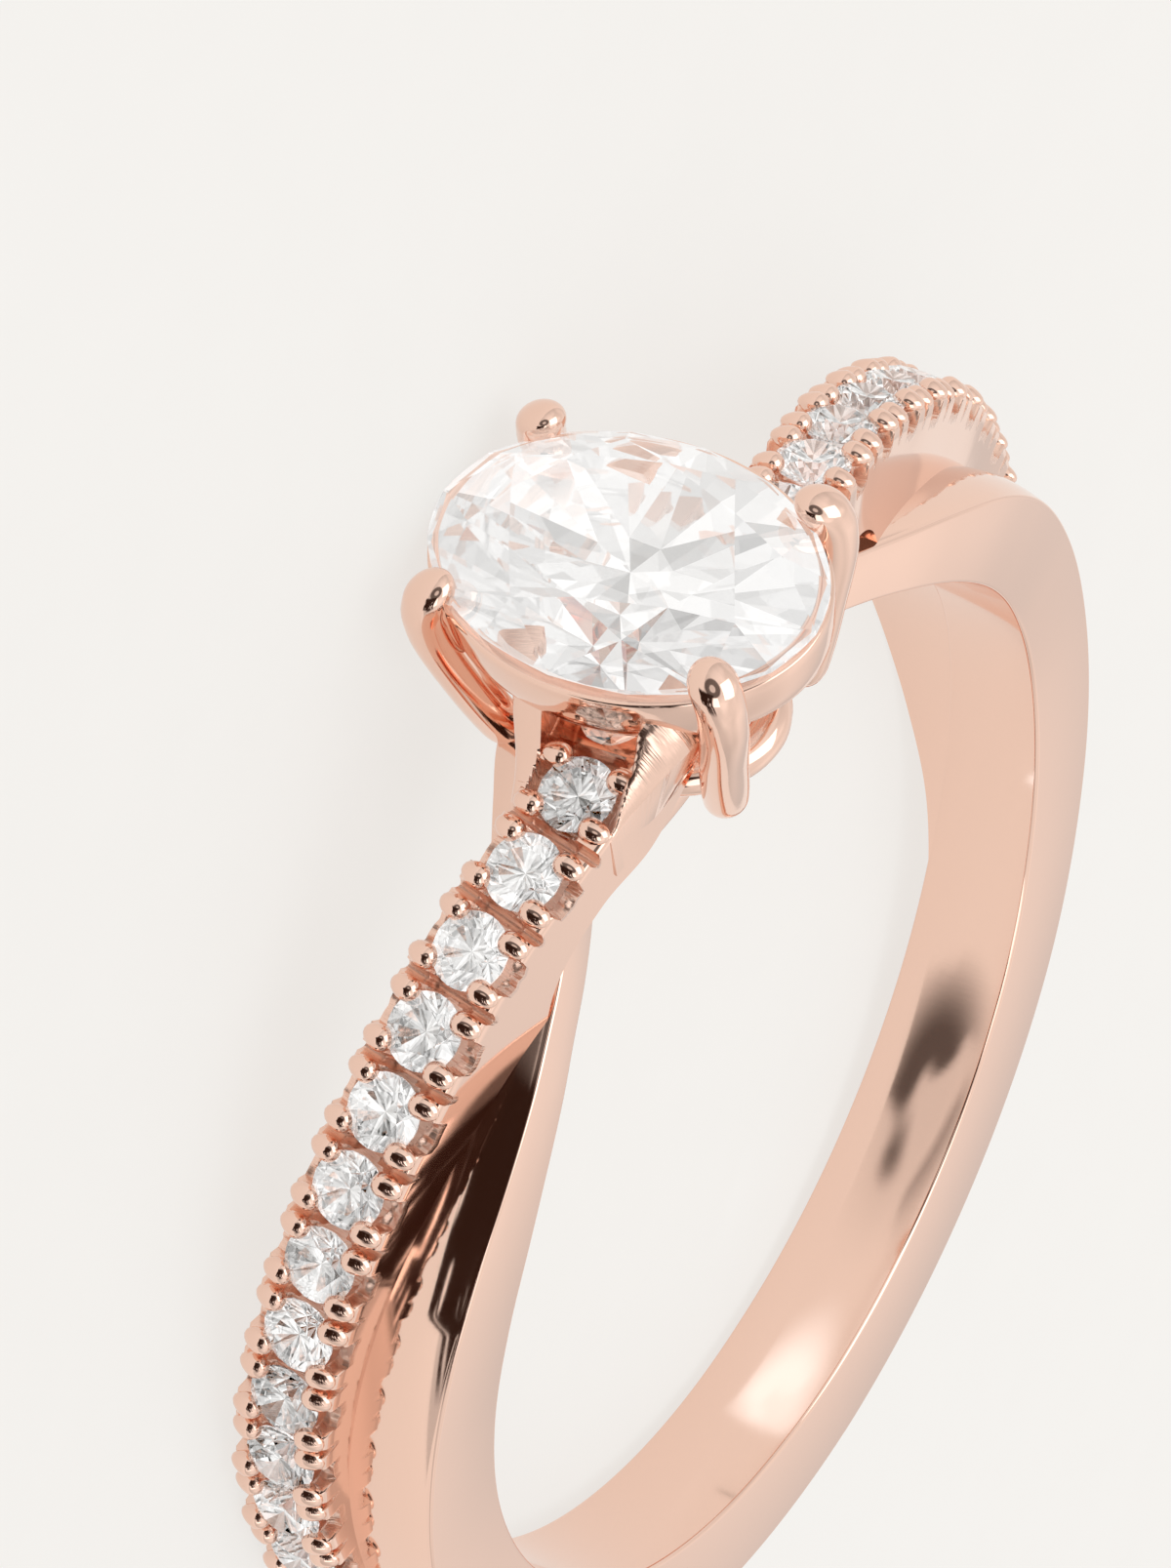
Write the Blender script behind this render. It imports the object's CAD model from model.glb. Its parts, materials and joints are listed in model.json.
"""Twisted shank ring, dressed: polished metal, set stones and the studio round it."""

import json
import math

import bpy
import numpy as np
from mathutils import Matrix, Vector


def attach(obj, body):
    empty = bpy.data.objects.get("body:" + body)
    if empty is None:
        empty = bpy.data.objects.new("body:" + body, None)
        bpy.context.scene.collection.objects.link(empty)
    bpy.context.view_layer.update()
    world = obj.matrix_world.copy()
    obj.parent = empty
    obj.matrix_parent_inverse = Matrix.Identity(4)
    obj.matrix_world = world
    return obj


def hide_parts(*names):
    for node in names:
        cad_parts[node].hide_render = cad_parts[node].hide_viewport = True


bl_info = {
    "name": "Twisted Shank Ring",
    "version": (1, 0, 0),
    "blender": (4, 5, 0),
    "location": "View3D > Sidebar > Ring",
    "description": "Rose gold ring of two crossing strands with an oval brilliant",
    "category": "Add Mesh",
}

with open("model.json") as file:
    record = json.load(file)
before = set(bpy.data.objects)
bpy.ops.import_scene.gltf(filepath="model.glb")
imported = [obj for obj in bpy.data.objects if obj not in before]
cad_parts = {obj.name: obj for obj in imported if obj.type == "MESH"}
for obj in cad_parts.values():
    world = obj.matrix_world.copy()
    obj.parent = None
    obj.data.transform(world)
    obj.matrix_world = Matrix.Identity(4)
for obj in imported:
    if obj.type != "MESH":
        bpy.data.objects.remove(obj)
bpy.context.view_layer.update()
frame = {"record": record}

MM = 0.001
METAL_NODE = "mounting"

# Columns of the two strand tables: angle from the top of the ring, place along the finger
# hole, half width, and radius of the outer face and of the inner face, in degrees and mm
SIDE, HALF, TOP, FOOT = 1, 2, 3, 4
HOLE_R = 8.25
PAVE_STRAND = np.array([
    [5, -0.45, 0.80, 11.12, 9.55],
    [14, -0.60, 0.80, 11.14, 9.80],
    [20, -0.45, 0.79, 11.12, 9.98],
    [27, -0.17, 0.78, 11.08, 9.60],
    [33, 0.04, 0.78, 11.03, 8.80],
    [40, 0.26, 0.78, 10.98, HOLE_R],
    [50, 0.58, 0.78, 10.91, HOLE_R],
    [60, 0.87, 0.78, 10.83, HOLE_R],
    [70, 1.10, 0.78, 10.74, HOLE_R],
    [80, 1.20, 0.77, 10.62, HOLE_R],
    [90, 1.08, 0.76, 10.50, HOLE_R],
    [100, 0.82, 0.73, 10.36, HOLE_R],
    [112, 0.46, 0.64, 10.18, HOLE_R],
    [126, 0.22, 0.52, 9.95, HOLE_R],
])
PLAIN_STRAND = np.array([
    [5, 1.34, 0.52, 9.48, 8.70],
    [10, 1.02, 0.66, 9.50, HOLE_R],
    [15, 0.62, 0.70, 9.42, HOLE_R],
    [20, 0.27, 0.70, 9.34, HOLE_R],
    [26, -0.03, 0.70, 9.30, HOLE_R],
    [32, -0.22, 0.71, 9.31, HOLE_R],
    [38, -0.36, 0.73, 9.40, HOLE_R],
    [45, -0.43, 0.75, 9.56, HOLE_R],
    [53, -0.44, 0.76, 9.80, HOLE_R],
    [62, -0.37, 0.76, 9.98, HOLE_R],
    [75, -0.23, 0.76, 10.08, HOLE_R],
    [90, -0.09, 0.80, 10.13, HOLE_R],
    [110, 0.0, 0.88, 10.17, HOLE_R],
    [132, 0.0, 0.94, 10.19, HOLE_R],
    [180, 0.0, 0.98, 10.20, HOLE_R],
])
# Angle, and the two edges of the thin bridge along the finger hole
BRIDGE = np.array([
    [0, -0.88, 0.90],
    [6, -0.83, 0.92],
    [11, -0.71, 0.94],
    [16, -0.55, 0.90],
    [22, -0.36, 0.70],
])
# Height over the hole's middle, place along and across the shank, share of the full radius
PRONG = np.array([
    [9.02, 1.20, 1.70, 0.30],
    [9.20, 1.24, 1.74, 0.78],
    [9.60, 1.33, 1.82, 0.94],
    [10.60, 1.54, 2.03, 0.97],
    [11.60, 1.69, 2.24, 0.98],
    [12.20, 1.72, 2.28, 0.98],
    [12.50, 1.68, 2.22, 1.00],
    [12.90, 1.58, 2.08, 1.00],
])
PRONG_TURN = 3.5
PRONG_DOME = 12.56
# Shoulder between collar and strand: place along the shank, its two sides, the tops of the
# ridge on each side, how wide each ridge is, and how far the outer one slopes down outwards
SHOULDER = np.array([
    [1.20, -2.02, 1.05, 12.02, 12.00, 0.86, 0.72, 0.62],
    [1.75, -1.94, 0.94, 11.96, 11.80, 0.78, 0.68, 0.60],
    [2.10, -1.80, 0.80, 11.80, 11.50, 0.64, 0.61, 0.55],
    [2.28, -1.68, 0.71, 11.56, 11.20, 0.52, 0.55, 0.48],
    [2.48, -1.56, 0.60, 11.26, 10.94, 0.40, 0.47, 0.36],
    [2.72, -1.45, 0.48, 10.98, 10.76, 0.30, 0.37, 0.22],
    [2.98, -1.385, 0.36, 10.76, 10.66, 0.22, 0.26, 0.10],
    [3.20, -1.36, 0.26, 10.62, 10.60, 0.18, 0.18, 0.0],
])

PAVE_COUNT = 13
PAVE_FIRST = 8.0
PAVE_STEP = 6.62
PAVE_SUNK = 0.05
GIRDLE_Z = 12.40
COLLAR_Z = GIRDLE_Z - 0.18
ARMS = {"near": -1.0, "far": 1.0}
# Where the record's finger hole mount lies along the hole, from the hole's middle
MOUNT_SIDE = 0.385
# Radius at which lengths along the pave strand are measured
STRAND_R = 11.0
# Middle of a bead from its stone's middle, along and across the strand
BEAD_ALONG, BEAD_ACROSS = 0.395, 0.485
# Lamps: name, place and side in metres, and power
LAMPS = (
    ("overhead", (0.05, 0.10, 0.30), 0.26, 0.26),
    ("fill", (-0.25, 0.05, 0.15), 0.18, 0.10),
)
# Cards in the finger hole: name, place in metres, turn, radius, material and share that noise takes off
HOLE_CARDS = (
    ("hole_dark", (0.00312, -0.00635, 0.0008), -68, 0.00150, "black_card", 0.80),
    ("hole_light", (0.00075, -0.00733, 0.0008), -52, 0.00125, "lit_card", 0.25),
)


def linear(code):
    """Turns an sRGB hex colour to linear values with alpha, by the sRGB curve."""
    parts = [int(code[i:i + 2], 16) / 255 for i in (1, 3, 5)]
    return tuple(c / 12.92 if c <= 0.04045 else ((c + 0.055) / 1.055) ** 2.4 for c in parts) + (1.0,)


class RingSizes(bpy.types.PropertyGroup):
    """Sizes of the stones and of the work round them."""

    stone_length: bpy.props.FloatProperty(
        name="Stone length", description="Length of the oval stone",
        default=5.96 * MM, unit="LENGTH", precision=5)
    stone_width: bpy.props.FloatProperty(
        name="Stone width", description="Width of the oval stone",
        default=4.30 * MM, unit="LENGTH", precision=5)
    pave_size: bpy.props.FloatProperty(
        name="Pave stone", description="Diameter of a pave stone",
        default=1.13 * MM, unit="LENGTH", precision=5)
    bead_size: bpy.props.FloatProperty(
        name="Bead", description="Diameter of a bead that holds a pave stone",
        default=0.38 * MM, unit="LENGTH", precision=5)
    collar_length: bpy.props.FloatProperty(
        name="Collar length", description="Length of the collar at its sharp edge",
        default=5.98 * MM, unit="LENGTH", precision=5)
    collar_width: bpy.props.FloatProperty(
        name="Collar width", description="Width of the collar at its sharp edge",
        default=4.58 * MM, unit="LENGTH", precision=5)
    prong_size: bpy.props.FloatProperty(
        name="Prong", description="Thickness of a prong",
        default=0.72 * MM, unit="LENGTH", precision=5)


class RingFinish(bpy.types.PropertyGroup):
    """Colours and polish of the metal and the stones."""

    gold: bpy.props.FloatVectorProperty(
        name="Rose gold", description="Colour of the polished alloy",
        subtype="COLOR", size=4, default=linear("#F4D0BE"))
    stone: bpy.props.FloatVectorProperty(
        name="Stone", description="Colour of the clear stones",
        subtype="COLOR", size=4, default=linear("#FFFFFF"))
    floor: bpy.props.FloatVectorProperty(
        name="Floor", description="Colour of the studio floor",
        subtype="COLOR", size=4, default=linear("#F4F2EE"))
    polish: bpy.props.FloatProperty(
        name="Polish", description="Roughness of the mirror polish",
        default=0.07, min=0.0, max=1.0, subtype="FACTOR")


def spline(table, column, x):
    """A column of a table at x: cubic Hermite curve with Catmull-Rom slopes."""
    t, v = table[:, 0], table[:, column]
    before, after = np.r_[0, np.arange(len(t) - 1)], np.r_[np.arange(1, len(t)), len(t) - 1]
    slopes = (v[after] - v[before]) / (t[after] - t[before])
    i = np.clip(np.searchsorted(t, x, side="right") - 1, 0, len(t) - 2)
    run = t[i + 1] - t[i]
    u = (np.clip(x, t[0], t[-1]) - t[i]) / run
    a, b, ma, mb = v[i], v[i + 1], slopes[i] * run, slopes[i + 1] * run
    return a + u * (ma + u * (3 * (b - a) - 2 * ma - mb + u * (2 * (a - b) + ma + mb)))


def smooth_step(low, high, x):
    """0 below low, 1 above high, and 3t^2 - 2t^3 between."""
    t = np.clip((x - low) / (high - low), 0, 1)
    return t * t * (3 - 2 * t)


def polar(angle, radius, side):
    """Points at an angle from the top of the ring, a radius from the hole's axis and a place along it."""
    a = np.radians(angle)
    return np.stack(np.broadcast_arrays(radius * np.sin(a), side, radius * np.cos(a)), -1)


def lay_down(points):
    """Lays the upright ring's points, in mm, on their side, in metres, by the frame's own finger hole."""
    mount = frame["record"]["mounts"][0]
    along = -np.array(mount["axis"])
    up = np.array([0.0, -along[2], along[1]])
    basis = np.stack([np.array([1.0, 0.0, 0.0]), along, up])
    middle = np.array(mount["pos_m"]) - along * MOUNT_SIDE * MM
    return points @ basis * MM + middle


def lay_out(direction):
    """Turns a direction of the upright ring to the ring on its side."""
    return (lay_down(direction) - lay_down(np.zeros(3))) / MM


def grid_faces(rows, cols, close_rows=False, close_cols=False):
    """Quads of a grid of points, row by row, joined round where asked."""
    i = np.arange(rows - (not close_rows))
    j = np.arange(cols - (not close_cols))
    i, j = np.meshgrid(i, j, indexing="ij")
    i2, j2 = (i + 1) % rows, (j + 1) % cols
    return np.stack([i * cols + j, i * cols + j2, i2 * cols + j2, i2 * cols + j], -1).reshape(-1, 4)


def signed_volume(points, faces):
    """Six times the volume inside the faces, by fans of tetrahedra: positive if they point outwards."""
    total = 0.0
    for ring in faces:
        first, others = points[ring[:, :1]], points[ring[:, 1:]]
        normals = np.cross(others[:, :-1], others[:, 1:])
        total += (first * normals).sum()
    return total


def tube(rings, closed=False):
    """Points and faces of a solid through rings of points, with flat ends unless it is closed."""
    rows, sides = rings.shape[:2]
    faces = [grid_faces(rows, sides, closed, True)]
    if not closed:
        ends = np.arange(sides)
        faces.append(np.stack([ends[::-1], ends + (rows - 1) * sides]))
    points = rings.reshape(-1, 3)
    if signed_volume(points, faces) < 0:
        faces = [f[:, ::-1] for f in faces]
    return points, faces


def join(parts):
    """One list of points and faces from several."""
    points, faces, start = [], [], 0
    for p, group in parts:
        points.append(p)
        faces += [f + start for f in group]
        start += len(p)
    return np.concatenate(points), faces


def new_piece(name, shape, finish, replaced, slot, sharp=32.0, **attributes):
    """Makes a piece of points and faces, laid down, on the ring's body. Raises an error if it is empty."""
    points, faces = shape
    if not np.isfinite(points).all() or not len(faces):
        raise ValueError(f"{name} has no sound shape: check the sizes")
    mesh = bpy.data.meshes.new(name)
    sizes = np.concatenate([np.full(len(f), f.shape[1]) for f in faces])
    mesh.vertices.add(len(points))
    mesh.vertices.foreach_set("co", lay_down(points).astype(np.float32).ravel())
    mesh.loops.add(int(sizes.sum()))
    corners = np.concatenate([f.ravel() for f in faces]).astype(np.int32)
    mesh.loops.foreach_set("vertex_index", corners)
    mesh.polygons.add(len(sizes))
    mesh.polygons.foreach_set("loop_start", np.r_[0, np.cumsum(sizes)[:-1]].astype(np.int32))
    mesh.update(calc_edges=True)
    mesh.validate()
    if sharp:
        mesh.shade_smooth()
        mesh.set_sharp_from_angle(angle=math.radians(sharp))
    else:
        mesh.shade_flat()
    for key, values in attributes.items():
        layer = mesh.attributes.new(key, "FLOAT", "POINT")
        layer.data.foreach_set("value", values.astype(np.float32).ravel())
    mesh.materials.append(material(finish))
    piece = bpy.data.objects.new(name, mesh)
    bpy.context.scene.collection.objects.link(piece)
    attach(piece, "root")
    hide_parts(replaced)
    return piece


def add_node(tree, kind, links=(), **settings):
    """Adds a shader node: settings name attributes or input sockets, links join (socket, output) pairs."""
    node = tree.nodes.new(kind)
    for key, value in settings.items():
        if hasattr(node, key):
            setattr(node, key, value)
        else:
            node.inputs[key.replace("_", " ")].default_value = value
    for socket, output in links:
        tree.links.new(output, node.inputs[socket])
    return node


def new_material(name):
    """An empty material, its tree and its output node."""
    made = bpy.data.materials.new(name)
    made.use_nodes = True
    made.node_tree.nodes.clear()
    out = made.node_tree.nodes.new("ShaderNodeOutputMaterial")
    return made, made.node_tree, out


def polished_rose_gold(finish):
    """Rose gold alloy, buffed to a mirror: sharp warm reflections, and hairlines that only just show."""
    made, tree, out = new_material("polished_rose_gold")
    place = add_node(tree, "ShaderNodeTexCoord")
    # Hairlines of the buffing mop are about 0.02 mm apart, drawn here at 0.08 mm so that they show
    hairs = add_node(tree, "ShaderNodeMapping", [("Vector", place.outputs["Object"])],
                     Scale=(2500, 12000, 2500))
    noise = add_node(tree, "ShaderNodeTexNoise", [("Vector", hairs.outputs[0])], Scale=1.0, Detail=3.0)
    rough = add_node(tree, "ShaderNodeMapRange", [("Value", noise.outputs["Fac"])],
                     To_Min=finish.polish * 0.7, To_Max=finish.polish * 1.4)
    bump = add_node(tree, "ShaderNodeBump", [("Height", noise.outputs["Fac"])],
                    Strength=0.012, Distance=0.00002)
    shader = add_node(tree, "ShaderNodeBsdfPrincipled",
                      [("Roughness", rough.outputs[0]), ("Normal", bump.outputs[0])],
                      Base_Color=tuple(finish.gold), Metallic=1.0)
    tree.links.new(shader.outputs[0], out.inputs["Surface"])
    return made


def graver_cut_rose_gold(finish):
    """The same alloy where a graver and a file cut it: bright on the lands, torn and duller in the cuts."""
    made, tree, out = new_material("graver_cut_rose_gold")
    cut = add_node(tree, "ShaderNodeAttribute", attribute_name="cut")
    along = add_node(tree, "ShaderNodeAttribute", attribute_name="along")
    across = add_node(tree, "ShaderNodeAttribute", attribute_name="across")
    # File marks run across the strand, 0.03 mm apart, in mm along and across it
    marks = add_node(tree, "ShaderNodeCombineXYZ",
                     [("X", along.outputs["Fac"]), ("Y", across.outputs["Fac"])])
    lines = add_node(tree, "ShaderNodeMapping", [("Vector", marks.outputs[0])], Scale=(34, 1.6, 1))
    noise = add_node(tree, "ShaderNodeTexNoise", [("Vector", lines.outputs[0])], Scale=1.0, Detail=2.0)
    rough = add_node(tree, "ShaderNodeMapRange", [("Value", cut.outputs["Fac"])],
                     To_Min=finish.polish, To_Max=0.30)
    depth = add_node(tree, "ShaderNodeMath", [(0, noise.outputs["Fac"]), (1, cut.outputs["Fac"])],
                     operation="MULTIPLY")
    bump = add_node(tree, "ShaderNodeBump", [("Height", depth.outputs[0])], Strength=0.6, Distance=0.00003)
    shader = add_node(tree, "ShaderNodeBsdfPrincipled",
                      [("Roughness", rough.outputs[0]), ("Normal", bump.outputs[0])],
                      Base_Color=tuple(finish.gold), Metallic=1.0)
    tree.links.new(shader.outputs[0], out.inputs["Surface"])
    return made


def cut_diamond(finish, name="cut_diamond", darkest=0.36, brightest=1.36, share=0.42):
    """Colourless diamond, brilliant cut: index 2.42, flat polished facets, no body colour.

    Light goes round inside a diamond longer than it is followed. So each facet seen from inside sends back
    a share of pale light of its own strength, and past four facets it sends back nothing else.
    """
    made, tree, out = new_material(name)
    shader = add_node(tree, "ShaderNodeBsdfPrincipled",
                      Base_Color=tuple(finish.stone), Roughness=0.0, IOR=2.417)
    shader.inputs["Transmission Weight"].default_value = 1.0
    path = add_node(tree, "ShaderNodeLightPath")
    facet = add_node(tree, "ShaderNodeNewGeometry")
    inside = add_node(tree, "ShaderNodeMath", [(0, facet.outputs["Backfacing"])],
                      operation="MULTIPLY")
    inside.inputs[1].default_value = share
    late = add_node(tree, "ShaderNodeMath", [(0, path.outputs["Ray Depth"])],
                    operation="GREATER_THAN")
    late.inputs[1].default_value = 4.5
    spent = add_node(tree, "ShaderNodeMath", [(0, inside.outputs[0]), (1, late.outputs[0])],
                     operation="MAXIMUM")
    tone = add_node(tree, "ShaderNodeTexWhiteNoise", [("Vector", facet.outputs["True Normal"])])
    level = add_node(tree, "ShaderNodeMapRange", [("Value", tone.outputs["Value"])],
                     To_Min=darkest, To_Max=brightest)
    glow = add_node(tree, "ShaderNodeEmission", [("Strength", level.outputs[0])],
                    Color=linear("#FBFAF9"))
    mixed = add_node(tree, "ShaderNodeMixShader", [(0, spent.outputs[0]), (1, shader.outputs[0]),
                                                   (2, glow.outputs[0])])
    tree.links.new(mixed.outputs[0], out.inputs["Surface"])
    return made


def small_cut_diamond(finish):
    """Diamond of the small pave stones: their facets show more dark against bright."""
    return cut_diamond(finish, "small_cut_diamond", -0.55, 1.75, 0.30)


def opal_acrylic(finish):
    """Opal acrylic lit evenly from below: a pale floor with faint shadows and a fine mottle."""
    made, tree, out = new_material("opal_acrylic")
    place = add_node(tree, "ShaderNodeTexCoord")
    # The mottle's patches are about 2 mm across
    mottle = add_node(tree, "ShaderNodeTexNoise", [("Vector", place.outputs["Object"])],
                      Scale=600.0, Detail=3.0)
    level = add_node(tree, "ShaderNodeMapRange", [("Value", mottle.outputs["Fac"])],
                     To_Min=0.785, To_Max=0.80)
    shader = add_node(tree, "ShaderNodeBsdfPrincipled", [("Emission Strength", level.outputs[0])],
                      Base_Color=linear("#6A6867"), Roughness=0.9, Emission_Color=tuple(finish.floor))
    tree.links.new(shader.outputs[0], out.inputs["Surface"])
    return made


def studio_card(name, kind, **settings):
    """A card of one shader on its front, clear at its back, which fades out where its cover says so."""
    made, tree, out = new_material(name)
    shader = add_node(tree, kind, **settings)
    cover = add_node(tree, "ShaderNodeAttribute", attribute_name="cover")
    side = add_node(tree, "ShaderNodeNewGeometry")
    front = add_node(tree, "ShaderNodeMath", [(0, cover.outputs["Fac"]), (1, side.outputs["Backfacing"])],
                     operation="SUBTRACT", use_clamp=True)
    clear = add_node(tree, "ShaderNodeBsdfTransparent")
    mixed = add_node(tree, "ShaderNodeMixShader", [(0, front.outputs[0]), (1, clear.outputs[0]),
                                                   (2, shader.outputs[0])])
    tree.links.new(mixed.outputs[0], out.inputs["Surface"])
    return made


def black_card(finish):
    """Black velvet card, which gives polished metal a dark reflection."""
    return studio_card("black_card", "ShaderNodeBsdfDiffuse", Color=linear("#33211A"))


def lit_card(finish):
    """White card under a lamp, which gives polished metal a highlight."""
    return studio_card("lit_card", "ShaderNodeEmission", Color=linear("#ECF8FF"), Strength=1.7)


MAKERS = {
    "polished": polished_rose_gold,
    "cut": graver_cut_rose_gold,
    "diamond": cut_diamond,
    "small_diamond": small_cut_diamond,
    "acrylic": opal_acrylic,
    "black_card": black_card,
    "lit_card": lit_card,
}
made_materials = {}


def material(key):
    """The material of this name, made once."""
    if key not in made_materials:
        made_materials[key] = MAKERS[key](bpy.context.scene.ring_finish)
    return made_materials[key]


def strand_place(angle):
    """Middle of the pave strand's top at an angle, and its slope as the sine and cosine of its turn."""
    reach = 0.5
    rise = spline(PAVE_STRAND, SIDE, angle + reach) - spline(PAVE_STRAND, SIDE, angle - reach)
    top = spline(PAVE_STRAND, TOP, angle)
    turn = np.arctan2(rise, np.radians(2 * reach) * top)
    return top, spline(PAVE_STRAND, SIDE, angle), turn


def on_strand(points, angle, lift):
    """Carries points (along, across, out) to the strand's top at an angle, out along the radius."""
    top, side, turn = strand_place(np.array(float(angle)))
    c, s = np.cos(turn), np.sin(turn)
    flat = np.stack([points[..., 0] * c - points[..., 1] * s,
                     points[..., 0] * s + points[..., 1] * c + side,
                     points[..., 2] + top + lift], -1)
    a = math.radians(angle)
    return np.stack([flat[..., 0] * math.cos(a) + flat[..., 2] * math.sin(a), flat[..., 1],
                     flat[..., 2] * math.cos(a) - flat[..., 0] * math.sin(a)], -1)


def arm_shape(shape, sign):
    """The far arm's shape as it is, or mirrored for the near arm with its faces turned back outwards."""
    points, faces = shape
    if sign > 0:
        return points, faces
    return points * np.array([-1.0, 1.0, 1.0]), [f[:, ::-1] for f in faces]


def value_noise(x, y, seed):
    """Smooth noise from -1 to 1: random values on a lattice of unit cells, blended with 3t^2 - 2t^3."""
    lattice = np.random.default_rng(seed).uniform(-1, 1, (64, 64))
    i, j = np.floor(x).astype(int), np.floor(y).astype(int)
    u, v = smooth_step(0, 1, x - i), smooth_step(0, 1, y - j)
    a, b = lattice[i % 64, j % 64], lattice[(i + 1) % 64, j % 64]
    c, d = lattice[i % 64, (j + 1) % 64], lattice[(i + 1) % 64, (j + 1) % 64]
    return (a * (1 - u) + b * u) * (1 - v) + (c * (1 - u) + d * u) * v


def setter_cut(a, b, size, shift):
    """Depth of the setter's work below the strand's top, at a along and b across one pitch of the strand

    It is the deepest of a round seat under the stone, an open scallop in each wall beside it, and a rounded
    channel across the strand half way to the next stone. A block is left at each corner of the stone.
    Shift moves the scallops' roughness on from stone to stone.
    """
    pitch = math.radians(PAVE_STEP) * STRAND_R
    r = np.hypot(a, b)
    seat = 0.62 * (1 - smooth_step(size / 2 - 0.03, size / 2 + 0.035, r))
    scallop = 0.30 * (1 - smooth_step(0.235, 0.285, np.abs(a))) * smooth_step(0.30, 0.40, np.abs(b))
    scallop += 0.05 * value_noise(a * 9 + shift, b * 9, 3) * (scallop > 0.1)
    from_middle = np.abs(np.abs(a) - pitch / 2)
    channel = 0.25 * np.sqrt(np.clip(1 - (from_middle / 0.088) ** 2, 0, 1))
    channel += 0.16 * (1 - smooth_step(0.30, 0.42, np.abs(b))) * (from_middle < 0.20)
    return np.maximum(np.maximum(seat, scallop), channel)


def pave_strand(sizes):
    """The pave strand of the far arm: radius top(angle) - cut(along, across), and walls down to its foot.

    The rows of its grid stand square to the strand. Gives the shape and each point's cut, along and across.
    """
    size = sizes.pave_size / MM
    last_cut = PAVE_FIRST + PAVE_STEP * (PAVE_COUNT - 0.5)
    fine = np.arange(PAVE_STRAND[0, 0], last_cut + 0.7, PAVE_STEP / 42)
    angle = np.r_[fine, np.linspace(fine[-1], PAVE_STRAND[-1, 0], 60)[1:]]
    edge = 1 - 0.10 * np.array([0.0, 0.25, 0.55, 1.0])
    across = np.r_[-edge, np.linspace(-0.87, 0.87, 51), edge[::-1]]
    _, _, turn = strand_place(angle)
    top = spline(PAVE_STRAND, TOP, angle)
    half = spline(PAVE_STRAND, HALF, angle)
    # Rows stand square to the strand: the angle shifts with the place across
    shifted = angle[:, None] - np.degrees(across * (half * np.sin(turn) * np.cos(turn) / top)[:, None])
    side = spline(PAVE_STRAND, SIDE, shifted) + across * spline(PAVE_STRAND, HALF, shifted)
    b = across * (half * np.cos(turn))[:, None]
    stone = np.clip(np.round((angle - PAVE_FIRST) / PAVE_STEP), 1, PAVE_COUNT - 1)
    a = np.radians(angle - PAVE_FIRST - PAVE_STEP * stone) * STRAND_R
    a = np.broadcast_to(a[:, None], b.shape)
    cut = setter_cut(a, b, size, stone[:, None] * 5.0)
    fade = smooth_step(PAVE_FIRST + PAVE_STEP * 0.46, PAVE_FIRST + PAVE_STEP * 0.50, angle)
    fade *= 1 - smooth_step(last_cut + 0.30, last_cut + 0.42, angle)
    cut = cut * fade[:, None]
    drop = 0.075 * np.clip((np.abs(across) - 0.90) / 0.10, 0, 1) ** 2
    radius = top[:, None] - np.maximum(cut, drop)
    skin = polar(shifted, radius, side)
    foot_r = np.clip(spline(PAVE_STRAND, FOOT, angle), HOLE_R + 0.010, top - 0.7)
    steps = np.array([0.0, 0.33, 0.66, 0.93])
    walls = []
    for column, order in ((0, 1), (-1, -1)):
        start = radius[:, column]
        down = foot_r[:, None] + (start - foot_r)[:, None] * steps
        wall = polar(shifted[:, column, None], down, side[:, column, None])
        walls.append(wall[:, ::order])
    rings = np.concatenate([walls[0], skin, walls[1]], 1)
    pad = ((0, 0), (len(steps), len(steps)))
    values = {"cut": np.pad(np.clip(cut / 0.12, 0, 1), pad),
              "along": np.pad(a + stone[:, None] * 3.1, pad, "edge"),
              "across": np.pad(b, pad, "edge")}
    return tube(rings), values


def bead_shape(sizes, angle):
    """Four beads round one stone: each a ball, drawn out into the block that it is cut from."""
    r = sizes.bead_size / MM / 2
    u, v = np.meshgrid(np.linspace(0, math.pi, 13), np.linspace(0, 2 * math.pi, 21)[:-1], indexing="ij")
    parts = []
    for sx in (-1, 1):
        for sy in (-1, 1):
            x = r * np.sin(u) * np.cos(v)
            y = r * np.sin(u) * np.sin(v)
            z = r * np.cos(u)
            # Drawn out to the wall's side by up to half a radius, and lower there
            out = np.clip(y * sy, 0, None)
            y = y + 0.55 * out * sy
            lowered = z * (1 - 0.25 * out / r) - 0.01
            ball = np.stack([x + sx * BEAD_ALONG, y + sy * BEAD_ACROSS, lowered], -1)
            parts.append(tube(on_strand(ball, angle, 0.0)))
    return join(parts)


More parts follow.
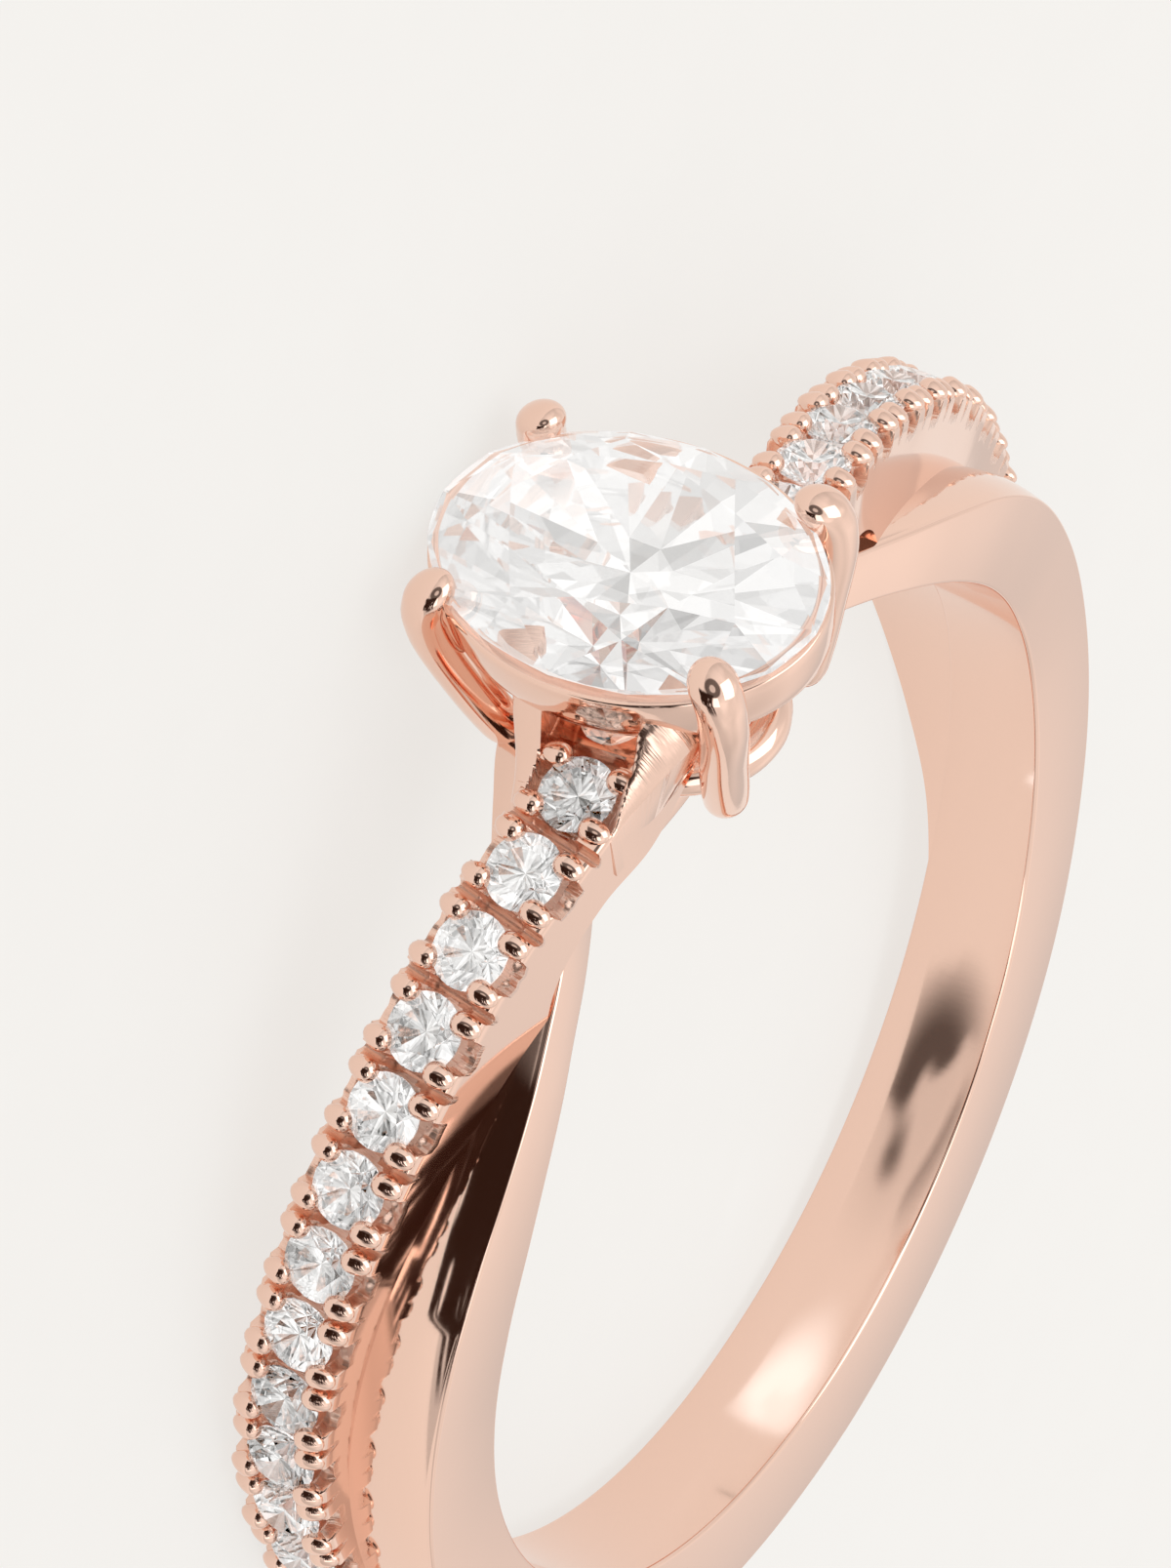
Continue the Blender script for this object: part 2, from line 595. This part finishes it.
def plain_strand():
    """Both plain strands and the band: a ring of sections with flat walls, crisp edges and a low crown."""
    first = PLAIN_STRAND[0, 0]
    angle = np.linspace(first, 360 - first, 541)
    mirrored = np.minimum(angle, 360 - angle)
    side, half, top, foot = (spline(PLAIN_STRAND, k, mirrored) for k in (SIDE, HALF, TOP, FOOT))
    foot = np.maximum(foot, HOLE_R)
    crown, edge, comfort = 0.12, 0.06, 0.07
    share = np.linspace(-1, 1, 33)
    corner = np.radians(np.linspace(0, 90, 6))
    # The crown is a low arch; each edge is a quarter round from the arch's end to the wall
    arch_y = share[None] * (half - edge)[:, None]
    arch_r = top[:, None] - crown * (share[None] ** 2)
    turn_y = (half - edge)[:, None] + edge * np.sin(corner)
    turn_r = (top - crown)[:, None] - edge * (1 - np.cos(corner))
    inner_y = (half - comfort)[:, None] + comfort * np.cos(corner)
    inner_r = foot[:, None] + comfort * (1 - np.sin(corner))
    y = np.concatenate([arch_y, turn_y[:, 1:], inner_y, -inner_y[:, ::-1], -turn_y[:, :0:-1]], 1)
    r = np.concatenate([arch_r, turn_r[:, 1:], inner_r, inner_r[:, ::-1], turn_r[:, :0:-1]], 1)
    return tube(polar(angle[:, None], r, y + side[:, None]))


def bridge():
    """The thin bar under the basket: a bent strip with rounded edges, along the hole's wall."""
    angle = np.linspace(-22, 22, 61)
    low, high = spline(BRIDGE, 1, np.abs(angle)), spline(BRIDGE, 2, np.abs(angle))
    inner, outer, edge = HOLE_R + 0.020, HOLE_R + 0.46, 0.07
    centres = ((high - edge, outer - edge), (high - edge, inner + edge),
               (low + edge, inner + edge), (low + edge, outer - edge))
    corners = []
    for (y, r), start in zip(centres, (90, 0, -90, -180)):
        t = np.radians(np.linspace(start, start - 90, 5))
        corners.append(polar(angle[:, None], r + edge * np.sin(t), y[:, None] + edge * np.cos(t)))
    return tube(np.concatenate(corners, 1))


def shoulder():
    """The metal that carries the collar on the strand's end: height over a grid along and across the shank.

    Two ridges fall from the collar to the strand's edges, each by a smooth step down to the open recess of
    the first stone between them. Gives the shape and each point's cut, along and across.
    """
    x = np.linspace(SHOULDER[0, 0], SHOULDER[-1, 0], 81)
    low, high, top_low, top_high, wide_low, wide_high, slope = (
        spline(SHOULDER, k, x)[:, None] for k in range(1, 8))
    share = 0.5 - 0.5 * np.cos(np.linspace(0, math.pi, 61))
    y = low + (high - low) * share
    recess, edge = 10.2, 0.09
    wobble = 0.03 * value_noise(x[:, None] * 7 + 0 * y, y * 7, 5)
    # The setter's cutter left a ledge half way up the outer ridge
    on_low = 0.62 * (1 - smooth_step(wide_low - 0.22, wide_low + 0.04, y - low + wobble))
    on_low += 0.38 * (1 - smooth_step(wide_low + 0.09, wide_low + 0.17, y - low - 2 * wobble))
    on_high = 1 - smooth_step(wide_high - 0.05, wide_high + 0.05, high - y + wobble)
    top_low = top_low - slope * np.clip(1 - (y - low) / wide_low, 0, 1) ** 2.4
    top_high = top_high - 0.6 * slope * np.clip(1 - (high - y) / wide_high, 0, 1) ** 1.3
    z = recess + (top_low - recess) * on_low + (top_high - recess) * on_high
    near_edge = np.clip(1 - np.minimum(y - low, high - y) / edge, 0, 1)
    z = z - edge * (1 - np.sqrt(1 - near_edge ** 2))
    along = np.broadcast_to(x[:, None], y.shape)
    skin = np.stack([along, y, z], -1)
    # The outer wall leans in to the strand's edge at its foot
    foot, strand_edge = np.full(len(x), 9.75), -1.34
    ends = [np.stack([x, side[:, 0], foot], -1)[:, None] for side in (np.maximum(low, strand_edge), high)]
    cut = np.maximum(1 - smooth_step(0.80, 1.0, np.maximum(on_low, on_high)), 0.35)
    pad = ((0, 0), (1, 1))
    values = {"cut": np.pad(cut, pad),
              "along": np.pad(along, pad, "edge"),
              "across": np.pad(y, pad, "edge")}
    return tube(np.concatenate([ends[0], skin, ends[1]], 1)), values


def oval_sweep(length, width, profile, pieces=160):
    """A profile of (inset, height) points carried round an oval of this length and width."""
    t = np.linspace(0, 2 * math.pi, pieces + 1)[:-1]
    inset, height = profile[:, 0], profile[:, 1]
    x = (width / 2 - inset) * np.cos(t)[:, None]
    y = (length / 2 - inset) * np.sin(t)[:, None]
    return tube(np.stack(np.broadcast_arrays(x, y, height), -1), closed=True)


def collar(sizes):
    """The oval collar: a wall that tapers down, a sharp upper edge and a narrow bearing inside it."""
    foot = COLLAR_Z - 0.88
    profile = np.array([
        [0.020, COLLAR_Z - 0.006], [0.006, COLLAR_Z - 0.020], [0.0, COLLAR_Z - 0.045],
        [0.005, COLLAR_Z - 0.20], [0.02, COLLAR_Z - 0.40], [0.045, COLLAR_Z - 0.60],
        [0.08, COLLAR_Z - 0.76], [0.11, COLLAR_Z - 0.83],
        [0.16, foot + 0.01], [0.20, foot], [0.54, foot], [0.58, foot + 0.03],
        [0.48, COLLAR_Z - 0.45], [0.38, COLLAR_Z - 0.14], [0.31, COLLAR_Z - 0.075],
        [0.18, COLLAR_Z - 0.035], [0.10, COLLAR_Z - 0.010], [0.04, COLLAR_Z],
    ])
    return oval_sweep(sizes.collar_length / MM, sizes.collar_width / MM, profile)


def rail():
    """The round wire rail at the basket's foot."""
    r, z, length, width = 0.28, 9.28, 4.10, 3.20
    t = np.radians(np.arange(0, 360, 18))
    return oval_sweep(length, width, np.stack([r * (1 - np.cos(t)), z + r * np.sin(t)], -1), 96)


def prong(sizes, side_x, side_y):
    """One prong: a round wire up a bent path, with a ball end over the stone's edge."""
    r = sizes.prong_size / MM / 2
    z = np.r_[np.linspace(PRONG[0, 0], PRONG_DOME, 40)[:-1],
              PRONG_DOME + (PRONG[-1, 0] - PRONG_DOME) * np.sin(np.linspace(0, 0.498 * math.pi, 12))]
    share = spline(PRONG, 3, z)
    dome = np.clip((z - PRONG_DOME) / (PRONG[-1, 0] - PRONG_DOME), 0, 1)
    radius = r * share * np.sqrt(1 - dome ** 2)
    t = np.linspace(0, 2 * math.pi, 29)[:-1]
    x = side_x * spline(PRONG, 1, z)[:, None] + radius[:, None] * np.cos(t)
    y = side_y * spline(PRONG, 2, z)[:, None] + radius[:, None] * np.sin(t)
    c, s = math.cos(math.radians(PRONG_TURN)), math.sin(math.radians(PRONG_TURN))
    return tube(np.stack([c * x - s * y, s * x + c * y, np.broadcast_to(z[:, None], x.shape)], -1))


def brilliant(length, width, table, crown, girdle, pavilion, star=0.50, lower=0.78, arc=4):
    """A brilliant of 57 facets, cut round with radius 1 and then stretched to its length and width.

    The table's corners, the kites and the pavilion mains lie at every 45 degrees. The plane of a kite gives
    the height of the star points; the planes of the halves above and below give the girdle's wavy edges.
    """
    ring = np.radians(45.0) * np.arange(8)
    half = math.radians(22.5)
    cos_half = math.cos(half)
    star_r = table * cos_half + star * (1 - table * cos_half)
    star_z = crown * (1 - (star_r * cos_half - table) / (1 - table))
    low_r = 1 - lower
    low_z = -girdle - pavilion * (1 - low_r * cos_half)

    def point(angle, radius, height):
        return np.array([radius * math.cos(angle), radius * math.sin(angle), height])

    def plane_height(p, q, s, x, y):
        normal = np.cross(q - p, s - p)
        return p[2] - (normal[0] * (x - p[0]) + normal[1] * (y - p[1])) / normal[2]

    polygons, edge_up, edge_low = [[point(a, table, crown) for a in ring]], [], []
    for a in ring:
        kite = [point(a, table, crown), point(a - half, star_r, star_z),
                point(a, 1, 0), point(a + half, star_r, star_z)]
        main = [point(a, 0, -girdle - pavilion), point(a - half, low_r, low_z),
                point(a, 1, -girdle), point(a + half, low_r, low_z)]
        polygons += [kite, main[::-1], [kite[0], kite[3], point(a + 2 * half, table, crown)]]
        for turn, start in ((half, a), (half, a + half)):
            arcs = [start + turn * k / arc for k in range(arc + 1)]
            top, bottom = point(a + half, star_r, star_z), point(a + half, low_r, low_z)
            on_main = a if start == a else a + 2 * half
            third_up, third_low = point(on_main, 1, 0), point(on_main, 1, -girdle)
            mid_up, mid_low = point(a + half, 1, 0), point(a + half, 1, -girdle)
            up = [point(t, 1, plane_height(top, third_up, mid_up, math.cos(t), math.sin(t))) for t in arcs]
            low = [point(t, 1, plane_height(bottom, third_low, mid_low, math.cos(t), math.sin(t)))
                   for t in arcs]
            polygons += [[top] + up, [bottom] + low[::-1]]
            edge_up += up[:-1]
            edge_low += low[:-1]
    n = len(edge_up)
    polygons += [[edge_up[i], edge_low[i], edge_low[(i + 1) % n], edge_up[(i + 1) % n]] for i in range(n)]
    corners = np.round(np.concatenate([np.array(p) for p in polygons]), 9)
    points, index = np.unique(corners, axis=0, return_inverse=True)
    splits = np.cumsum([len(p) for p in polygons])[:-1]
    rings = np.split(index.ravel(), splits)
    # Rings of a like number of corners go together, each turned to face away from the stone's middle
    middle, turned = np.array([0, 0, -0.3 * pavilion]), {}
    for r in rings:
        p = points[r]
        normal = np.cross(p, np.roll(p, -1, 0)).sum(0)
        r = r if normal @ (p.mean(0) - middle) > 0 else r[::-1]
        turned.setdefault(len(r), []).append(r)
    return points * np.array([width / 2, length / 2, 1]), [np.array(v) for v in turned.values()]


def set_place(holder, axes, place):
    """Puts an object at a place, with its own axes along the columns of a 3 by 3 array."""
    holder.matrix_world = Matrix(np.block([[axes, place[:, None]], [0, 0, 0, 1]]).tolist())


class RING_OT_pave_strands(bpy.types.Operator):
    """Builds the two strands that hold the small stones"""

    bl_idname = "ring.pave_strands"
    bl_label = "Pave strands"

    def execute(self, context):
        shape, marks = pave_strand(context.scene.ring_sizes)
        for arm, sign in ARMS.items():
            new_piece(f"{arm}_pave_strand", arm_shape(shape, sign), "cut", METAL_NODE, "rose_gold",
                      sharp=50.0, **marks)
        return {"FINISHED"}


class RING_OT_beads(bpy.types.Operator):
    """Raises the beads that hold the small stones"""

    bl_idname = "ring.beads"
    bl_label = "Beads"

    def execute(self, context):
        sizes = context.scene.ring_sizes
        beads = join([bead_shape(sizes, PAVE_FIRST + PAVE_STEP * i) for i in range(1, PAVE_COUNT)])
        for arm, sign in ARMS.items():
            new_piece(f"{arm}_beads", arm_shape(beads, sign), "polished", METAL_NODE, "rose_gold")
        return {"FINISHED"}


class RING_OT_shoulders(bpy.types.Operator):
    """Builds the two shoulders between the collar and the strands"""

    bl_idname = "ring.shoulders"
    bl_label = "Shoulders"

    def execute(self, context):
        shape, marks = shoulder()
        for arm, sign in ARMS.items():
            new_piece(f"{arm}_shoulder", arm_shape(shape, sign), "cut", METAL_NODE, "rose_gold", **marks)
        return {"FINISHED"}


class RING_OT_plain_strand(bpy.types.Operator):
    """Builds the plain strands with the band, and the bridge between their ends"""

    bl_idname = "ring.plain_strand"
    bl_label = "Plain strand"

    def execute(self, context):
        new_piece("plain_strand", plain_strand(), "polished", METAL_NODE, "rose_gold")
        new_piece("bridge", bridge(), "polished", METAL_NODE, "rose_gold")
        return {"FINISHED"}


class RING_OT_basket(bpy.types.Operator):
    """Builds the collar, the rail and the four prongs"""

    bl_idname = "ring.basket"
    bl_label = "Basket"

    def execute(self, context):
        sizes = context.scene.ring_sizes
        prongs = [prong(sizes, side_x, side_y) for side_x in (-1, 1) for side_y in (-1, 1)]
        new_piece("basket", join([collar(sizes), rail()] + prongs), "polished", METAL_NODE, "rose_gold")
        return {"FINISHED"}


class RING_OT_centre_stone(bpy.types.Operator):
    """Cuts the oval brilliant"""

    bl_idname = "ring.centre_stone"
    bl_label = "Centre stone"

    def execute(self, context):
        sizes = context.scene.ring_sizes
        points, faces = brilliant(sizes.stone_length / MM, sizes.stone_width / MM,
                                  table=0.60, crown=0.62, girdle=0.10, pavilion=2.10)
        new_piece("oval_brilliant", (points + [0, 0, GIRDLE_Z], faces),
                  "diamond", "centre_stone", "diamond", sharp=0.0)
        return {"FINISHED"}


class RING_OT_pave_stones(bpy.types.Operator):
    """Cuts the small round brilliants, each turned its own way in its seat"""

    bl_idname = "ring.pave_stones"
    bl_label = "Pave stones"

    def execute(self, context):
        d = context.scene.ring_sizes.pave_size / MM
        points, faces = brilliant(d, d, table=0.58, crown=0.15 * d, girdle=0.04, pavilion=0.42 * d, arc=2)
        spin = np.random.default_rng(11).uniform(0, math.pi / 4, (2, PAVE_COUNT))
        for k, (arm, sign) in enumerate(ARMS.items()):
            for i in range(PAVE_COUNT):
                c, s = math.cos(spin[k, i]), math.sin(spin[k, i])
                turned = points @ np.array([[c, s, 0], [-s, c, 0], [0, 0, 1]])
                placed = on_strand(turned, PAVE_FIRST + PAVE_STEP * i, -PAVE_SUNK)
                new_piece(f"{arm}_brilliant_{i + 1:02d}", arm_shape((placed, faces), sign),
                          "small_diamond", f"pave_{arm}_{i + 1:02d}", "diamond", sharp=0.0)
        return {"FINISHED"}


class RING_OT_stage(bpy.types.Operator):
    """Sets the pale floor, the soft lights, the cards and the camera"""

    bl_idname = "ring.stage"
    bl_label = "Stage"

    def execute(self, context):
        scene = context.scene
        bpy.ops.mesh.primitive_plane_add(size=4.0)
        floor = context.object
        floor.name = "floor"
        floor.data.materials.append(material("acrylic"))
        world = bpy.data.worlds.new("studio")
        world.use_nodes = True
        self.light_tent(world.node_tree)
        scene.world = world
        scene.view_settings.view_transform = "Standard"
        scene.cycles.max_bounces = 16
        scene.cycles.glossy_bounces = 8
        scene.cycles.transmission_bounces = 16
        for name, place, size, power in LAMPS:
            lamp = bpy.data.lights.new(name, "AREA")
            lamp.size = size
            lamp.energy = power
            lamp_object = bpy.data.objects.new(name, lamp)
            scene.collection.objects.link(lamp_object)
            back = np.array(place) / np.linalg.norm(place)
            side = np.cross([0, 0, 1], back)
            side /= np.linalg.norm(side)
            set_place(lamp_object, np.stack([side, np.cross(back, side), back], 1), np.array(place))
        back = self.add_camera(scene)
        # The dark round the lens with the lens in it, and a dark screen beside the near arm
        rings = np.array([0.15, 0.30, 0.36, 0.85, 1.0])
        self.add_card("lens_dark", lay_down(back * 112.0), -lay_out(back), 0.052, rings,
                      [0.2, 0.2, 0.85, 0.85, 0.0])
        self.add_screen("side_screen")
        # Two small cards in the finger hole, one that shades the hole's wall and one that lights it
        rings = np.linspace(0.06, 1.0, 16)
        cover = 0.9 * (1 - smooth_step(0.35, 1.0, rings))
        for name, place, turn, radius, kind, patchy in HOLE_CARDS:
            facing = np.array([math.cos(math.radians(turn)), math.sin(math.radians(turn)), 0.0])
            self.add_card(name, np.array(place), facing, radius, rings, cover, kind, patchy)
        return {"FINISHED"}

    def reflected_only(self, card, target, kind="black_card"):
        """Turns a card's front to the target and leaves the card to mirror reflections alone."""
        face = card.data.polygons[len(card.data.polygons) // 2]
        if face.normal.dot(Vector(target) - face.center) < 0:
            card.data.flip_normals()
        card.data.materials.append(material(kind))
        bpy.context.scene.collection.objects.link(card)
        for key in ("visible_camera", "visible_diffuse", "visible_shadow", "visible_transmission"):
            setattr(card, key, False)

    def add_card(self, name, place, facing, radius, rings, cover, kind="black_card", patchy=0.0):
        """A round card facing a way. Its rings cover from 0 (clear) to 1, less what the noise takes off."""
        sides = 48
        t = 2 * math.pi * np.arange(sides) / sides
        aside = np.cross(facing, [0.3, 1.0, 0.2])
        aside /= np.linalg.norm(aside)
        above = np.cross(facing, aside)
        flat = np.cos(t)[:, None] * aside + np.sin(t)[:, None] * above
        rim = place + radius * rings[:, None, None] * flat
        points = np.concatenate([place[None], rim.reshape(-1, 3)])
        faces = (grid_faces(len(rings), sides, False, True) + 1).tolist()
        faces += [[0, (i + 1) % sides + 1, i + 1] for i in range(sides)]
        mesh = bpy.data.meshes.new(name)
        mesh.from_pydata(points.tolist(), [], faces)
        layer = mesh.attributes.new("cover", "FLOAT", "POINT")
        across, along = rings[:, None] * np.cos(t), rings[:, None] * np.sin(t)
        gaps = smooth_step(-0.15, 0.35, value_noise(across * 2.6 + 7.0, along * 2.6 + 7.0, 11))
        cover = np.asarray(cover)[:, None] * (1 - patchy * gaps)
        layer.data.foreach_set("value", np.r_[cover[0].mean(), cover.ravel()].astype(np.float32))
        self.reflected_only(bpy.data.objects.new(name, mesh), place + facing, kind)

    def add_screen(self, name):
        """A low curved screen of dark level strips beside the near arm, for the plain strand to mirror."""
        columns, rows = 121, 90
        u, v = np.meshgrid(np.linspace(0, 1, columns), np.linspace(0, 1, rows), indexing="ij")
        turn = np.radians(106 + 94 * u)
        # Its foot rises from the floor where the band's side would mirror it
        foot = 0.0002 + 0.0036 * smooth_step(0.68, 0.76, u)
        radius, height, middle = 0.015, 0.015, np.array([-0.007, 0.005])
        points = np.stack([radius * np.cos(turn) + middle[0], radius * np.sin(turn) + middle[1],
                           foot + (height - foot) * v], -1)
        strips = value_noise(v * 19 + 2.0 * u, u * 3.5, 8) + 0.4 * value_noise(v * 46, u * 6.0, 9)
        cover = smooth_step(-0.60, -0.30, strips) * smooth_step(0, 0.08, u)
        cover *= (1 - smooth_step(0.88, 1.0, u)) * (1 - smooth_step(0.85, 1.0, v))
        mesh = bpy.data.meshes.new(name)
        mesh.from_pydata(points.reshape(-1, 3).tolist(), [], grid_faces(columns, rows).tolist())
        layer = mesh.attributes.new("cover", "FLOAT", "POINT")
        layer.data.foreach_set("value", cover.astype(np.float32).ravel())
        self.reflected_only(bpy.data.objects.new(name, mesh), (*middle, 0.004))

    def light_tent(self, tree):
        """A light tent: brightest overhead, and greyer towards its foot and its seams."""
        background = tree.nodes["Background"]
        background.inputs["Color"].default_value = linear("#FBFAF8")
        place = add_node(tree, "ShaderNodeTexCoord")
        height = add_node(tree, "ShaderNodeSeparateXYZ", [("Vector", place.outputs["Generated"])])
        folds = add_node(tree, "ShaderNodeTexNoise", [("Vector", place.outputs["Generated"])],
                         Scale=1.6, Detail=1.0)
        level = add_node(tree, "ShaderNodeMapRange", [("Value", height.outputs["Z"])],
                         From_Min=-0.1, From_Max=0.9, To_Min=0.70, To_Max=1.08)
        fold = add_node(tree, "ShaderNodeMapRange", [("Value", folds.outputs["Fac"])],
                        From_Min=0.35, From_Max=0.65, To_Min=0.88, To_Max=1.10)
        strength = add_node(tree, "ShaderNodeMath", [(0, level.outputs[0]), (1, fold.outputs[0])],
                            operation="MULTIPLY")
        tree.links.new(strength.outputs[0], background.inputs["Strength"])

    def add_camera(self, scene):
        """Camera from azimuth, height and roll, turned so that the hole's middle falls on its pixel."""
        azimuth, elevation, roll = math.radians(39.62), math.radians(55.16), math.radians(-11.50)
        distance, focal_px, image_w, image_h = 90.0, 5985.0, 1200, 1607
        hole_px = (748.8, 1091.7)
        level = math.cos(elevation)
        back = np.array([-level * math.cos(azimuth), -level * math.sin(azimuth), math.sin(elevation)])
        right = np.array([math.sin(azimuth), -math.cos(azimuth), 0.0])
        up = np.cross(back, right)
        c, s = math.cos(roll), math.sin(roll)
        right, up = c * right + s * up, c * up - s * right
        seen = np.array([hole_px[0] - image_w / 2, image_h / 2 - hole_px[1], -focal_px])
        seen /= np.linalg.norm(seen)
        axis = np.cross([0, 0, -1], seen)
        angle = math.asin(np.linalg.norm(axis))
        turn = np.array(Matrix.Rotation(angle, 3, axis / np.linalg.norm(axis)))
        axes = lay_out(turn @ np.stack([right, up, back]))
        camera = bpy.data.cameras.new("photo_camera")
        camera.sensor_fit = "VERTICAL"
        camera.sensor_height = 24.0
        camera.lens = focal_px * camera.sensor_height / image_h
        camera.clip_start = 0.001
        holder = bpy.data.objects.new("photo_camera", camera)
        scene.collection.objects.link(holder)
        set_place(holder, axes.T, lay_down(back * distance))
        scene.camera = holder
        return back


class RING_PT_panel(bpy.types.Panel):
    """Lists the pieces and their values"""

    bl_label = "Twisted shank ring"
    bl_idname = "RING_PT_panel"
    bl_space_type = "VIEW_3D"
    bl_region_type = "UI"
    bl_category = "Ring"

    def draw(self, context):
        for group in (context.scene.ring_sizes, context.scene.ring_finish):
            for key in group.__annotations__:
                self.layout.prop(group, key)
        for operator in OPERATORS:
            self.layout.operator(operator.bl_idname)


OPERATORS = (RING_OT_pave_strands, RING_OT_beads, RING_OT_shoulders, RING_OT_plain_strand,
             RING_OT_basket, RING_OT_centre_stone, RING_OT_pave_stones, RING_OT_stage)
CLASSES = (RingSizes, RingFinish) + OPERATORS + (RING_PT_panel,)


def register():
    """Registers the classes and puts the values on the scene."""
    for kind in CLASSES:
        bpy.utils.register_class(kind)
    bpy.types.Scene.ring_sizes = bpy.props.PointerProperty(type=RingSizes)
    bpy.types.Scene.ring_finish = bpy.props.PointerProperty(type=RingFinish)


def unregister():
    """Takes the values and the classes away again."""
    del bpy.types.Scene.ring_sizes
    del bpy.types.Scene.ring_finish
    for kind in reversed(CLASSES):
        bpy.utils.unregister_class(kind)


def main():
    """Builds the metal, the stones and the stage."""
    register()
    bpy.ops.ring.pave_strands()
    bpy.ops.ring.beads()
    bpy.ops.ring.shoulders()
    bpy.ops.ring.plain_strand()
    bpy.ops.ring.basket()
    bpy.ops.ring.centre_stone()
    bpy.ops.ring.pave_stones()
    bpy.ops.ring.stage()
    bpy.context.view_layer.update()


if __name__ == "__main__":
    main()
